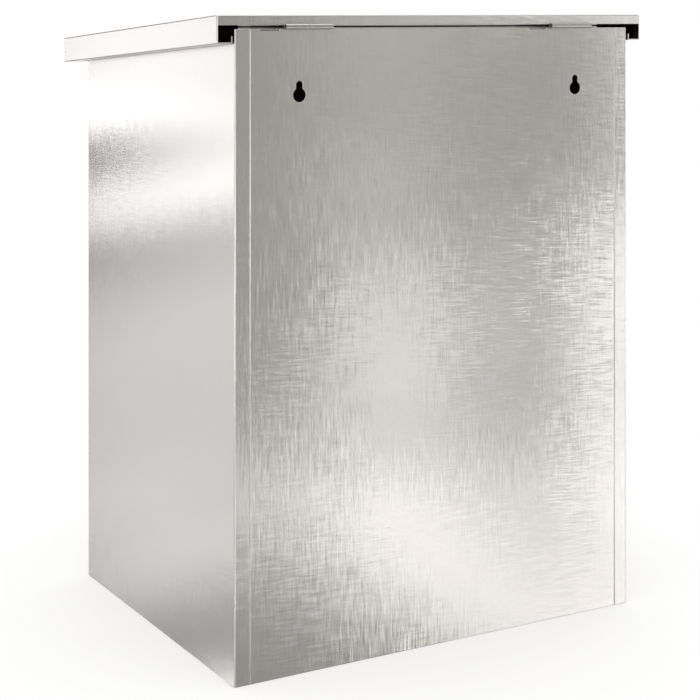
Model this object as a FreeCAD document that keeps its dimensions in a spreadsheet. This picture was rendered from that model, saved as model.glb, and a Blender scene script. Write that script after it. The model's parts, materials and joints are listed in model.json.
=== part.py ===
import FreeCAD, Part
import os
import Sketcher
from FreeCAD import Vector, Placement, Rotation

# Wall-hung recycling bin cabinet in folded stainless sheet, with a hinged sloping lid,
# a locking door and two inner bins on wire bails.
# Frame: +Z up, the back (with the keyhole slots) faces +Y, the front door faces -Y,
# origin at the centre of the base. Right is +X, left is -X. Millimetres throughout.

doc = FreeCAD.newDocument("RecyclingBinStation")
sheet = doc.addObject("Spreadsheet::Sheet", "Params")

# Alias and length. "_x", "_y" and "_z" are places or extents along that axis.
TABLE = [
    # overall envelope
    ("lid_width", 440.0), ("lid_depth", 351.0), ("lid_drop", 23.1),
    ("total_height", 551.0), ("body_width", 408.0), ("body_depth", 327.0),
    ("body_height", 539.1),
    # sheet and folds
    ("gauge", 1.0), ("bend_rad", 1.2), ("seam_rad", 0.8), ("mating_gap", 0.02),
    ("corner_flange", 14.0), ("back_return", 12.0), ("front_return", 13.1),
    ("return_foot", 20.0), ("return_below", 2.0), ("rim_flange", 12.0), ("rim_inset", 14.0),
    # small clearances: touching faces, pressed holes, turning holes
    ("face_gap", 0.01), ("hole_clear", 0.02), ("turn_clear", 0.05),
    # back panel
    ("key_spacing", 287.7), ("key_height", 483.8), ("key_big_dia", 12.0),
    ("key_slot_width", 6.2), ("key_slot_rise", 8.8), ("top_fold_inset", 2.0),
    ("relief_width", 18.0), ("relief_depth", 1.4), ("relief_offset", 4.0),
    ("relief_reach", 3.0),
    # floor
    ("floor_upstand", 16.0), ("floor_side_inset", 12.0), ("floor_end_inset", 3.0),
    ("floor_front_drop", 1.0), ("drain_dia", 8.0), ("drain_x", 150.0), ("drain_y", 110.0),
    # lid tray
    ("skirt", 23.7), ("skirt_return", 14.0), ("lip_rise", 6.0), ("rear_skirt", 8.6),
    ("rear_return", 14.0),
    # lid hinge; leaf, barrel and relief places run inwards from the right side
    ("hinge_y", 166.2), ("hinge_z", 541.0), ("barrel_dia", 5.2), ("pin_dia", 2.8),
    ("leaf_low_gauge", 1.2), ("leaf_up_gauge", 0.8), ("leaf_from", 3.2),
    ("leaf_to", 373.2), ("leaf_depth", 14.0), ("leaf_relief", 9.0),
    ("barrel_a_from", 45.4), ("barrel_a_to", 90.2), ("relief_a_from", 14.6),
    ("barrel_b_from", 318.4), ("barrel_b_to", 363.6), ("relief_b_from", 282.0),
    ("tongue_root", 1.0), ("tongue_reach", 1.2), ("knuckle_gap", 0.2),
    ("pin_clear", 0.06), ("pin_seat", 0.02), ("pin_low_inset", 0.5), ("pin_high_inset", 3.5),
    # door, its pivots and bushes
    ("door_gap", 2.0), ("door_bottom", 20.0), ("door_top", 494.0),
    ("door_fold", 13.0), ("door_bend_rad", 1.0), ("pivot_in", 9.0), ("pivot_back", 4.5),
    ("pivot_dia", 4.0), ("pivot_reach", 5.0), ("pivot_head_dia", 6.6),
    ("pivot_head_depth", 4.0), ("bush_wall", 1.2), ("bush_reach", 2.5),
    ("bush_flange_dia", 8.4), ("bush_flange_depth", 1.9),
    # front rails
    ("rail_bottom", 496.0), ("rail_top_fold", 15.0), ("rail_low_fold", 17.5),
    ("sill_top", 18.0), ("sill_fold", 13.0), ("stop_half", 150.0), ("stop_drop", 12.0),
    # lock
    ("lock_x", 162.0), ("lock_z", 257.0), ("lock_dia", 16.0), ("lock_head_dia", 22.0),
    ("lock_head_depth", 3.0), ("lock_head_round", 1.2), ("lock_reach", 13.0),
    ("nut_half_flats", 11.0), ("nut_depth", 4.0), ("nut_chamfer", 0.5),
    ("plug_dia", 11.0), ("plug_recess", 0.4), ("plug_chamfer", 0.4), ("plug_square", 7.0),
    ("plug_end_inset", 0.05), ("key_width", 1.4), ("key_length", 7.6), ("key_depth", 9.0),
    ("cam_reach", 34.0), ("cam_width", 14.0), ("cam_gauge", 2.0), ("cam_plane", 149.4),
    ("cam_root_extra", 1.5), ("cam_tip_rad", 3.0), ("square_clear", 0.03),
    ("screw_dia", 3.8), ("screw_hole_dia", 3.9), ("screw_length", 4.5),
    ("screw_head_dia", 10.8), ("screw_head_depth", 2.4), ("screw_round", 1.0),
    ("screw_slot_width", 1.2), ("screw_slot_length", 12.0), ("screw_slot_from", 1.2),
    # inner bins
    ("bin_mid_x", 93.0), ("bin_mid_y", 3.0), ("bin_rim_x", 184.0), ("bin_rim_y", 286.0),
    ("bin_top_x", 172.0), ("bin_top_y", 274.0), ("bin_low_x", 160.0), ("bin_low_y", 262.0),
    ("bin_low_corner", 20.0), ("bin_top_corner", 24.0), ("bin_rim_corner", 30.0),
    ("bin_wall", 2.6), ("bin_floor_extra", 0.4), ("bin_foot", 2.0), ("bin_rim_z", 424.0),
    ("rim_gauge", 3.0), ("rim_round", 1.4), ("rim_skirt", 11.0), ("rim_skirt_wall", 2.5),
    ("ear_gauge", 4.0), ("ear_width", 16.0), ("ear_inset", 4.5), ("ear_flare", 4.0),
    ("ear_root", 1.5), ("ear_neck", 4.0), ("ear_clear", 0.06), ("bail_lift", 9.0),
    # bails
    ("wire_dia", 5.0), ("bail_arm", 84.0), ("bail_gap", 3.0), ("bail_end", 1.5),
    ("bail_hook_rad", 2.9), ("bail_corner_rad", 12.0), ("grip_dia", 16.0),
    ("grip_length", 112.0), ("grip_round", 3.0), ("grip_clear", 0.03),
    # small folded strips; halves are measured from the middle of the hat section
    ("strip_gauge", 0.8), ("strip_bend", 0.6),
    ("divider_height", 25.0), ("divider_foot_half", 12.0), ("divider_half", 7.0),
    ("divider_front", -115.0), ("divider_back", 125.0),
    ("lid_hat_y", -110.0), ("lid_hat_foot_half", 20.0), ("lid_hat_half", 12.0),
    ("lid_hat_depth", 6.0), ("lid_hat_end", 190.0),
    ("door_hat_foot_half", 24.0), ("door_hat_half", 14.0), ("door_hat_depth", 10.0),
    ("door_hat_inset", 18.0),
    # rubber buffers
    ("rubber_dia", 12.0), ("rubber_x", 120.0), ("rubber_y", 8.0), ("rubber_rise", 10.8),
    ("rubber_round", 1.5), ("rubber_hole_dia", 5.2), ("rubber_stem_dia", 5.1),
    ("rubber_bulb_dia", 6.8), ("rubber_bulb_depth", 3.0),
    ("door_rubber_dia", 10.0), ("door_rubber_x", 110.0), ("door_rubber_drop", 5.5),
    ("door_rubber_gap", 0.1),
]


class Dim(object):
    """A length together with the sheet formula that gives it."""

    def __init__(self, value, text):
        self.value = float(value)
        self.text = text

    def __add__(self, other):
        other = dim(other)
        return Dim(self.value + other.value, "(%s + %s)" % (self.text, other.text))

    def __sub__(self, other):
        other = dim(other)
        return Dim(self.value - other.value, "(%s - %s)" % (self.text, other.text))

    def __mul__(self, other):
        other = dim(other)
        return Dim(self.value * other.value, "(%s * %s)" % (self.text, other.text))

    def __truediv__(self, other):
        other = dim(other)
        return Dim(self.value / other.value, "(%s / %s)" % (self.text, other.text))

    def __neg__(self):
        return Dim(-self.value, "(0 - %s)" % self.text)

    __rmul__ = __mul__


def dim(x):
    if isinstance(x, Dim):
        return x
    if x < 0:
        return Dim(x, "(0 - %s)" % repr(float(-x)))
    return Dim(x, repr(float(x)))


class Sizes(object):
    """Holds each driving dimension as a Dim, under its alias."""


size = Sizes()
for row, (alias, value) in enumerate(TABLE, start=1):
    sheet.set("A%d" % row, alias.replace("_", " "))
    sheet.set("B%d" % row, str(value))
    sheet.setAlias("B%d" % row, alias)
    setattr(size, alias, Dim(value, "Params." + alias))
doc.recompute()

PAST = 1.0       # how far a cutter runs past the metal
OVERLAP = 0.5    # how far joined solids run into each other
QUARTER_TURN = 1.5707963267948966   # radians
COS_45 = 0.7071
SIDES = (("right", 1), ("left", -1))


def bind(obj, prop, length):
    """Drive a property from the sheet, when its length depends on it."""
    if "Params" in length.text:
        obj.setExpression(prop, length.text)


# ---------------------------------------------------------------- sketching

class Drawing(object):
    """Draws in a sketch and gathers its constraints with their formulas."""

    def __init__(self, sketch):
        self.sketch = sketch
        self.constraints = []
        self.formulas = []

    def line(self, start, end):
        segment = Part.LineSegment(*[Vector(p[0].value, p[1].value, 0) for p in (start, end)])
        self.sketch.addGeometry(segment, False)

    def join(self, *ends):
        self.constraints.append(Sketcher.Constraint("Coincident", *ends))

    def measure(self, kind, length, *where):
        self.formulas.append((len(self.constraints), length))
        self.constraints.append(Sketcher.Constraint(kind, *where, length.value))

    def fix(self, item, end, place):
        self.measure("DistanceX", place[0], -1, 1, item, end)
        self.measure("DistanceY", place[1], -1, 1, item, end)

    def finish(self):
        self.sketch.addConstraint(self.constraints)
        for index, length in self.formulas:
            bind(self.sketch, "Constraints[%d]" % index, length)


# Each shape below returns a function that adds it to a Drawing.

def polygon(points):
    points = [(dim(a), dim(b)) for a, b in points]

    def add(drawing):
        base = drawing.sketch.GeometryCount
        count = len(points)
        for i in range(count):
            drawing.line(points[i], points[(i + 1) % count])
        for i in range(count):
            drawing.join(base + i, 2, base + (i + 1) % count, 1)
        for i, point in enumerate(points):
            drawing.fix(base + i, 1, point)
    return add


def rect(x0, x1, y0, y1):
    return polygon([(x0, y0), (x1, y0), (x1, y1), (x0, y1)])


def flat_circle(centre, radius):
    middle = Vector(centre[0].value, centre[1].value, 0)
    return Part.Circle(middle, Vector(0, 0, 1), radius.value)


def circle(x, y, radius):
    centre, radius = (dim(x), dim(y)), dim(radius)

    def add(drawing):
        base = drawing.sketch.GeometryCount
        drawing.sketch.addGeometry(flat_circle(centre, radius), False)
        drawing.fix(base, 3, centre)
        drawing.measure("Radius", radius, base)
    return add


def quarter(point, centre):
    """Quarter turns from +X at which a bend's end lies about its centre."""
    across = point[0].value - centre[0].value
    if abs(across) > 1e-6:
        return 0 if across > 0 else 2
    return 1 if point[1].value > centre[1].value else 3


def bent_line(legs, bends):
    """Straight legs (start, end) joined by quarter bends (centre, radius).

    The line is closed when there are as many bends as legs."""
    def add(drawing):
        base = drawing.sketch.GeometryCount
        for i, (start, end) in enumerate(legs):
            leg, arc, after = base + 2 * i, base + 2 * i + 1, base + 2 * ((i + 1) % len(legs))
            drawing.line(start, end)
            drawing.fix(leg, 1, start)
            drawing.fix(leg, 2, end)
            if i == len(bends):
                continue
            centre, radius = bends[i]
            first = quarter(end, centre)
            second = quarter(legs[(i + 1) % len(legs)][0], centre)
            # An arc always runs anticlockwise, whichever way the line turns.
            anticlockwise = (second - first) % 4 == 1
            turn = (first if anticlockwise else second) * QUARTER_TURN
            near, far = (1, 2) if anticlockwise else (2, 1)
            drawing.sketch.addGeometry(
                Part.ArcOfCircle(flat_circle(centre, radius), turn, turn + QUARTER_TURN), False)
            drawing.join(leg, 2, arc, near)
            drawing.join(arc, far, after, 1)
            drawing.measure("Radius", radius, arc)
    return add


def rounded_rect(mid_x, mid_y, width, depth, radius):
    x0, x1 = mid_x - width / 2, mid_x + width / 2
    y0, y1 = mid_y - depth / 2, mid_y + depth / 2
    left, right, low, high = x0 + radius, x1 - radius, y0 + radius, y1 - radius
    legs = [((left, y0), (right, y0)), ((x1, low), (x1, high)),
            ((right, y1), (left, y1)), ((x0, high), (x0, low))]
    centres = [(right, low), (right, high), (left, high), (left, low)]
    return bent_line(legs, [(centre, radius) for centre in centres])


def hat(foot_half, crown_half, base, foot, top):
    """Corner points of a folded hat section: feet from base to foot, crown at top."""
    strip = size.strip_gauge
    inner = crown_half - strip
    return [(-foot_half, base), (-inner, base), (-inner, top - strip), (inner, top - strip),
            (inner, base), (foot_half, base), (foot_half, foot), (crown_half, foot),
            (crown_half, top), (-crown_half, top), (-crown_half, foot), (-foot_half, foot)]


# ----------------------------------------------------------- body features

PARTS = {}


def keep(label, obj):
    obj.Label = label
    PARTS[label] = obj


def new_body(label):
    body = doc.addObject("PartDesign::Body", "Body_" + label)
    keep(label, body)
    return body


def origin_plane(body, plane):
    return [o for o in body.Origin.OriginFeatures if o.Role == plane + "_Plane"][0]


def add_sketch(body, name, plane, shapes, offset):
    sketch = body.newObject("Sketcher::SketchObject", name)
    sketch.AttachmentSupport = [(origin_plane(body, plane), "")]
    sketch.MapMode = "FlatFace"
    offset = dim(offset)
    sketch.AttachmentOffset = Placement(Vector(0, 0, offset.value), Rotation())
    bind(sketch, "AttachmentOffset.Base.z", offset)
    drawing = Drawing(sketch)
    for shape in shapes:
        shape(drawing)
    drawing.finish()
    return sketch


def ordered(a, b):
    a, b = dim(a), dim(b)
    return (a, b) if a.value <= b.value else (b, a)


def extrude(body, kind, name, plane, shapes, start, length):
    sketch = add_sketch(body, name + "_sketch", plane, shapes, start)
    feature = body.newObject("PartDesign::" + kind, name)
    feature.Profile = sketch
    feature.Length = length.value
    bind(feature, "Length", length)
    sketch.Visibility = False
    return feature


def pad(body, name, plane, shapes, low, high):
    """Add material between two places on the axis across the plane.

    The XZ plane's normal is -Y, so its offsets are negated."""
    low, high = ordered(low, high)
    start = -high if plane == "XZ" else low
    return extrude(body, "Pad", name, plane, shapes, start, high - low)


def cut(body, name, plane, shapes, low, high):
    """Remove material between two places; a pocket runs against its sketch normal."""
    doc.recompute()
    before = body.Tip.Shape.Volume
    low, high = ordered(low, high)
    start = -low if plane == "XZ" else high
    feature = extrude(body, "Pocket", name, plane, shapes, start, high - low)
    doc.recompute()
    if not feature.Shape.Volume < before - 1e-6:
        raise RuntimeError("%s removes nothing" % name)


def mirror(body, name, original):
    """Repeat a feature on the other side of the YZ plane."""
    doc.recompute()
    before = body.Tip.Shape.Volume
    feature = body.newObject("PartDesign::Mirrored", name)
    feature.Originals = [original]
    feature.MirrorPlane = (origin_plane(body, "YZ"), [""])
    body.Tip = feature
    doc.recompute()
    if abs(feature.Shape.Volume - before) < 1e-6:
        raise RuntimeError("%s changes nothing" % name)


def loft(body, kind, name, low_shape, low_z, high_shape, high_z):
    doc.recompute()
    before = body.Tip.Shape.Volume if body.Tip else 0.0
    low = add_sketch(body, name + "_low", "XY", [low_shape], low_z)
    high = add_sketch(body, name + "_high", "XY", [high_shape], high_z)
    feature = body.newObject("PartDesign::" + kind, name)
    feature.Profile = low
    feature.Sections = [high]
    feature.Ruled = True
    low.Visibility = high.Visibility = False
    doc.recompute()
    if (kind == "AdditiveLoft") != (feature.Shape.Volume > before):
        raise RuntimeError("%s goes the wrong way" % name)


def edge_where(x=None, y=None, z=None, longer=0.0, test=None):
    """Pick edges of some length whose ends and middle lie at the given places."""
    def pick(edge):
        if edge.Length < longer:
            return False
        middle = edge.valueAt((edge.FirstParameter + edge.LastParameter) / 2)
        for p in [v.Point for v in edge.Vertexes] + [middle]:
            for want, got in ((x, p.x), (y, p.y), (z, p.z)):
                if want is not None and abs(dim(want).value - got) > 0.011:
                    return False
            if test is not None and not test(p):
                return False
        return True
    return pick


def dress(body, kind, prop, name, amount, picks):
    doc.recompute()
    base = body.Tip
    names = ["Edge%d" % i for i, edge in enumerate(base.Shape.Edges, start=1)
             if any(pick(edge) for pick in picks)]
    if not names:
        raise RuntimeError("%s finds no edge" % name)
    feature = body.newObject("PartDesign::" + kind, name)
    feature.Base = (base, names)
    setattr(feature, prop, amount.value)
    bind(feature, prop, amount)


def fillet(body, name, radius, *picks):
    dress(body, "Fillet", "Radius", name, radius, picks)


def chamfer(body, name, width, *picks):
    dress(body, "Chamfer", "Size", name, width, picks)


# ------------------------------------------------------------ plain solids

TURN = {"X": Rotation(Vector(0, 1, 0), 90), "Y": Rotation(Vector(1, 0, 0), -90),
        "Z": Rotation()}


def cylinder(name, radius, ends, centre, axis):
    """A cylinder between two places on an axis; centre gives the other two coordinates."""
    obj = doc.addObject("Part::Cylinder", name)
    low, high = ordered(*ends)
    radius = dim(radius)
    obj.Radius = radius.value
    obj.Height = (high - low).value
    bind(obj, "Radius", radius)
    bind(obj, "Height", high - low)
    place = [dim(c) for c in centre]
    place.insert("XYZ".index(axis), low)
    obj.Placement = Placement(Vector(*[p.value for p in place]), TURN[axis])
    for key, p in zip("xyz", place):
        bind(obj, "Placement.Base." + key, p)
    return obj


def combine(kind, name, base, tool):
    obj = doc.addObject("Part::" + kind, name)
    obj.Base = base
    obj.Tool = tool
    return obj


def fuse(name, base, tool):
    return combine("Fuse", name, base, tool)


def subtract(name, base, tool):
    return combine("Cut", name, base, tool)


def part_fillet(name, base, radius, pick):
    doc.recompute()
    obj = doc.addObject("Part::Fillet", name)
    obj.Base = base
    obj.Edges = [(i, radius.value, radius.value)
                 for i, edge in enumerate(base.Shape.Edges, start=1) if pick(edge)]
    return obj


# ------------------------------------------------------------ shared lengths

GAUGE = size.gauge
GAP = size.mating_gap
FACE_GAP = size.face_gap
SIDE_X = size.body_width / 2
BACK = size.body_depth / 2
FRONT = -BACK
TOP = size.body_height                  # top of the body at the back plane
SLOPE = size.lid_drop / size.lid_depth
SEAM_X = SIDE_X - size.corner_flange    # inner edge of the corner flanges
FACE_X = SEAM_X - GAP                   # ends of the back sheet and front rails


def fall(level, y):
    """Height at y of a line parallel to the lid that is at level on the back plane."""
    return level - (BACK - dim(y)) * SLOPE


def sloped_strip(front, back, low, high):
    """Outline on the YZ plane between two sloping lines, given by their back levels."""
    return polygon([(front, fall(low, front)), (back, fall(low, back)),
                    (back, fall(high, back)), (front, fall(high, front))])


FRONT_TOP = fall(TOP, FRONT)
LID_X = size.lid_width / 2
LID_FRONT = BACK - size.lid_depth
LID_TOP = size.total_height
LID_LOW = LID_TOP - size.skirt
REAR_BOTTOM = LID_TOP - size.rear_skirt

# hinge barrels: tag, right end, left end, right end of the leaf relief
BARRELS = (
    ("a", SIDE_X - size.barrel_a_from, SIDE_X - size.barrel_a_to, SIDE_X - size.relief_a_from),
    ("b", SIDE_X - size.barrel_b_from, SIDE_X - size.barrel_b_to, SIDE_X - size.relief_b_from),
)
HINGE_AXIS = (size.hinge_y, size.hinge_z)
PIN_RAD = size.pin_dia / 2

DOOR_X = SEAM_X - size.door_gap
DOOR_LOW, DOOR_TOP = size.door_bottom, size.door_top
RAIL_LOW = size.rail_bottom
STOP_FRONT = FRONT + size.rail_low_fold - GAUGE
PIVOT = (-(DOOR_X - size.pivot_in), FRONT + size.pivot_back)   # left of the door front
PIVOT_RAD = size.pivot_dia / 2
BUSH_RAD = PIVOT_RAD + size.bush_wall

LOCK = (size.lock_x, size.lock_z)
LOCK_RAD = size.lock_dia / 2
LOCK_FRONT = FRONT - size.lock_head_depth
CAM_FRONT = -size.cam_plane
CAM_BACK = CAM_FRONT + size.cam_gauge

BIN_Y = size.bin_mid_y
RIM = size.bin_rim_z
BAIL_Z = RIM + size.bail_lift
EAR_INSIDE = size.bin_top_y / 2 - size.ear_inset   # from the bin's middle
WIRE_RAD = size.wire_dia / 2


# ------------------------------------------------------------ cabinet body

def side_panel(label, side):
    body = new_body(label)
    outer, inner, inside = side * SIDE_X, side * SEAM_X, side * (SIDE_X - GAUGE)
    # The plain channel comes first, so the long bends are rounded on clean edges.
    pad(body, label + "_channel", "XY", [polygon([
        (inner, FRONT), (outer, FRONT), (outer, BACK), (inner, BACK), (inner, BACK - GAUGE),
        (inside, BACK - GAUGE), (inside, FRONT + GAUGE), (inner, FRONT + GAUGE)])], 0, TOP)
    for name, x, radius in (("_corner_bends", outer, size.bend_rad),
                            ("_seam_bends", inner, size.seam_rad)):
        fillet(body, label + name, radius,
               *[edge_where(x=x, y=y, longer=100) for y in (BACK, FRONT)])
    # The top edge falls towards the front, parallel to the lid.
    cutter_top, cutter_margin = TOP + 20, 5
    y0, y1 = FRONT - PAST, BACK + PAST
    cut(body, label + "_top_slope", "YZ",
        [polygon([(y0, fall(TOP, y0)), (y1, fall(TOP, y1)), (y1, cutter_top), (y0, cutter_top)])],
        side * (SEAM_X - cutter_margin), side * (SIDE_X + cutter_margin))
    for name, y0, y1, top in (
            ("_back_return", BACK - size.back_return, BACK - GAUGE, TOP),
            ("_front_return", FRONT + GAUGE, FRONT + size.front_return, FRONT_TOP)):
        pad(body, label + name, "YZ", [rect(y0, y1, size.return_foot, top - size.return_below)],
            inner, side * (SEAM_X + GAUGE))
    pad(body, label + "_rim_flange", "YZ",
        [sloped_strip(FRONT + size.rim_inset, BACK - size.rim_inset, TOP - GAUGE, TOP)],
        side * (SIDE_X - size.rim_flange), side * (SIDE_X - GAUGE / 2))


def back_panel():
    body = new_body("back_panel")
    pad(body, "back_sheet", "XZ", [rect(-FACE_X, FACE_X, 0, TOP)], BACK - GAUGE, BACK)
    fold_x = FACE_X - size.top_fold_inset
    pad(body, "back_top_fold", "XY",
        [rect(-fold_x, fold_x, BACK - size.rear_return, BACK - GAUGE / 2)], TOP - GAUGE, TOP)
    right_fold = pad(body, "back_edge_fold", "YZ",
                     [rect(BACK - size.back_return, BACK - GAUGE / 2,
                           size.return_foot, TOP - size.return_below)],
                     FACE_X - GAUGE, FACE_X)
    mirror(body, "back_edge_folds", right_fold)
    low, high = size.key_height, size.key_height + size.key_slot_rise
    half = size.key_slot_width / 2
    for name, side in SIDES:
        x = side * size.key_spacing / 2
        for piece, shape in (("big", circle(x, low, size.key_big_dia / 2)),
                             ("slot", rect(x - half, x + half, low, high)),
                             ("end", circle(x, high, half))):
            cut(body, "keyhole_%s_%s" % (piece, name), "XZ", [shape],
                BACK - 2 * GAUGE, BACK + PAST)
    # shallow notches in the top edge beside each hinge barrel
    for tag, barrel_right, barrel_left, relief in BARRELS:
        x = barrel_right + size.relief_offset
        cut(body, "relief_notch_" + tag, "XZ",
            [rect(x, x + size.relief_width, TOP - size.relief_depth, TOP + PAST)],
            BACK - size.relief_reach, BACK + PAST)
    fillet(body, "back_seam_bends", size.seam_rad,
           *[edge_where(x=x, y=BACK, longer=100) for x in (FACE_X, -FACE_X)])


def floor_pan():
    body = new_body("floor_pan")
    edge_x, edge_y = SIDE_X - GAUGE - GAP, BACK - GAUGE - GAP
    top = size.floor_upstand
    pad(body, "floor_sheet", "XY", [rect(-edge_x, edge_x, -edge_y, edge_y)], 0, GAUGE)
    side_y = edge_y - size.floor_side_inset
    right_fold = pad(body, "floor_side_fold", "YZ", [rect(-side_y, side_y, GAUGE / 2, top)],
                     edge_x - GAUGE, edge_x)
    mirror(body, "floor_side_folds", right_fold)
    end_x = SEAM_X - size.floor_end_inset
    pad(body, "floor_back_fold", "XZ", [rect(-end_x, end_x, GAUGE / 2, top)],
        edge_y - GAUGE, edge_y)
    pad(body, "floor_front_fold", "XZ",
        [rect(-end_x, end_x, GAUGE / 2, top - size.floor_front_drop)], -edge_y, -edge_y + GAUGE)
    cut(body, "drain_holes", "XY",
        [circle(i * size.drain_x, j * size.drain_y, size.drain_dia / 2)
         for i in (-1, 1) for j in (-1, 1)], -PAST, 2 * GAUGE)


def rail_ends(body, name):
    """Round the two upright front edges of a rail."""
    fillet(body, name, size.seam_rad / 2,
           *[edge_where(x=x, y=FRONT, longer=10) for x in (FACE_X, -FACE_X)])


def front_top_rail():
    body = new_body("front_top_rail")
    fold_front = FRONT + GAUGE / 2
    stop_back = FRONT + size.rail_low_fold
    pad(body, "rail_face", "XZ", [rect(-FACE_X, FACE_X, RAIL_LOW, FRONT_TOP)],
        FRONT, FRONT + GAUGE)
    pad(body, "rail_top_fold", "XY",
        [rect(-FACE_X, FACE_X, fold_front, FRONT + size.rail_top_fold)],
        FRONT_TOP - GAUGE, FRONT_TOP)
    pad(body, "rail_low_fold", "XY", [rect(-FACE_X, FACE_X, fold_front, stop_back)],
        RAIL_LOW, RAIL_LOW + GAUGE)
    pad(body, "rail_door_stop", "XZ",
        [rect(-size.stop_half, size.stop_half, RAIL_LOW - size.stop_drop, RAIL_LOW + GAUGE / 2)],
        STOP_FRONT, stop_back)
    fillet(body, "rail_face_bends", size.seam_rad,
           *[edge_where(y=FRONT, z=z, longer=100) for z in (RAIL_LOW, FRONT_TOP)])
    rail_ends(body, "rail_end_bends")
    cut(body, "rail_bush_hole", "XY", [circle(*PIVOT, BUSH_RAD + size.hole_clear)],
        RAIL_LOW - PAST, RAIL_LOW + 2 * PAST)
    cut(body, "rail_buffer_holes", "XY",
        [circle(side * size.rubber_x, FRONT + size.rubber_y, size.rubber_hole_dia / 2)
         for side in (-1, 1)], FRONT_TOP - 2 * PAST, FRONT_TOP + PAST)


def front_bottom_rail():
    body = new_body("front_bottom_rail")
    top = size.sill_top
    pad(body, "sill_face", "XZ", [rect(-FACE_X, FACE_X, 0, top)], FRONT, FRONT + GAUGE)
    pad(body, "sill_fold", "XY",
        [rect(-FACE_X, FACE_X, FRONT + GAUGE / 2, FRONT + size.sill_fold)], top - GAUGE, top)
    fillet(body, "sill_bend", size.seam_rad, edge_where(y=FRONT, z=top, longer=100))
    rail_ends(body, "sill_end_bends")
    cut(body, "sill_bush_hole", "XY", [circle(*PIVOT, BUSH_RAD + size.hole_clear)],
        top - 3 * PAST, top + PAST)


def bin_divider():
    """Hat strip on the floor between the two bins."""
    body = new_body("bin_divider")
    half, top = size.divider_half, size.divider_height
    profile = hat(size.divider_foot_half, half, GAUGE + GAP, GAUGE + size.strip_gauge, top)
    pad(body, "divider_hat", "XZ", [polygon(profile)], size.divider_front, size.divider_back)
    fillet(body, "divider_bends", size.strip_bend,
           *[edge_where(x=x, z=top, longer=50) for x in (half, -half)])


# ----------------------------------------------------------- hinge and lid

def hinge_leaf(label, z0, z1, lower, bore):
    """Flat strip with one knuckle of each barrel: the left half on the lower leaf."""
    body = new_body(label)
    pad(body, label + "_strip", "XY",
        [rect(SIDE_X - size.leaf_to, SIDE_X - size.leaf_from, BACK - size.leaf_depth, BACK)],
        z0, z1)
    half_gap = size.knuckle_gap / 2
    bore_past = 0.5
    for tag, right, left, relief in BARRELS:
        middle = (right + left) / 2
        x0, x1 = (left, middle - half_gap) if lower else (middle + half_gap, right)
        cut(body, "%s_relief_%s" % (label, tag), "XY",
            [rect(right, relief, BACK - size.leaf_relief, BACK + PAST)], z0 - PAST, z1 + PAST)
        pad(body, "%s_tongue_%s" % (label, tag), "XY",
            [rect(x0, x1, BACK - size.tongue_root, BACK + size.tongue_reach)], z0, z1)
        pad(body, "%s_barrel_%s" % (label, tag), "YZ",
            [circle(*HINGE_AXIS, size.barrel_dia / 2)], x0, x1)
        cut(body, "%s_bore_%s" % (label, tag), "YZ", [circle(*HINGE_AXIS, bore)],
            x0 - bore_past, x1 + bore_past)


def lid_hinge_pins():
    pins = [cylinder("hinge_pin_" + tag, PIN_RAD,
                     (left + size.pin_low_inset, right - size.pin_high_inset), HINGE_AXIS, "X")
            for tag, right, left, relief in BARRELS]
    keep("lid_hinge_pins", fuse("hinge_pin_pair", *pins))


def on_slope(level):
    return lambda p: abs(p.z - fall(level, p.y).value) < 0.02


def lid_tray():
    body = new_body("lid_tray")
    pad(body, "lid_blank", "YZ", [sloped_strip(LID_FRONT, BACK, LID_LOW, LID_TOP)],
        -LID_X, LID_X)
    picks = [edge_where(y=BACK, z=LID_TOP, longer=100)]
    for level in (LID_TOP, LID_LOW):
        picks.append(edge_where(y=LID_FRONT, z=fall(level, LID_FRONT), longer=100))
        picks += [edge_where(x=x, longer=100, test=on_slope(level)) for x in (LID_X, -LID_X)]
    picks += [edge_where(x=x, y=y, longer=5) for x in (LID_X, -LID_X) for y in (BACK, LID_FRONT)]
    fillet(body, "lid_bends", size.bend_rad, *picks)

    inside_x = LID_X - GAUGE
    cut(body, "lid_hollow", "YZ",
        [sloped_strip(LID_FRONT + GAUGE, BACK - GAUGE, LID_LOW + GAUGE, LID_TOP - GAUGE)],
        -inside_x, inside_x)
    mouth_x, mouth_y = LID_X - size.skirt_return, LID_FRONT + size.skirt_return
    cut(body, "lid_mouth", "YZ",
        [sloped_strip(mouth_y, BACK + PAST, LID_LOW - 2 * PAST, LID_LOW + GAUGE + PAST)],
        -mouth_x, mouth_x)
    cut(body, "lid_rear_opening", "XZ",
        [rect(-inside_x, inside_x, LID_LOW + GAUGE, REAR_BOTTOM)], BACK - 2 * GAUGE, BACK + PAST)

    # upturned lips around the mouth
    lip_low, lip_top = LID_LOW + GAUGE / 2, LID_LOW + size.lip_rise
    right_lip = pad(body, "lid_side_lip", "YZ",
                    [sloped_strip(mouth_y - GAUGE, BACK, lip_low, lip_top)],
                    mouth_x, mouth_x + GAUGE)
    mirror(body, "lid_side_lips", right_lip)
    pad(body, "lid_front_lip", "YZ", [sloped_strip(mouth_y - GAUGE, mouth_y, lip_low, lip_top)],
        -(mouth_x + GAUGE), mouth_x + GAUGE)
    pad(body, "lid_rear_return", "XY",
        [rect(-SIDE_X, SIDE_X, BACK - size.rear_return, BACK - GAUGE / 2)],
        REAR_BOTTOM, REAR_BOTTOM + GAUGE)


def lid_stiffener():
    """Hat strip across the underside of the lid sheet."""
    body = new_body("lid_stiffener")
    profile = [(size.lid_hat_y + across, fall(LID_TOP, size.lid_hat_y + across) - GAUGE - GAP - down)
               for across, down in hat(size.lid_hat_foot_half, size.lid_hat_half, dim(0),
                                       size.strip_gauge, size.lid_hat_depth)]
    pad(body, "lid_hat", "YZ", [polygon(profile)], -size.lid_hat_end, size.lid_hat_end)


# -------------------------------------------------------------------- door

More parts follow.
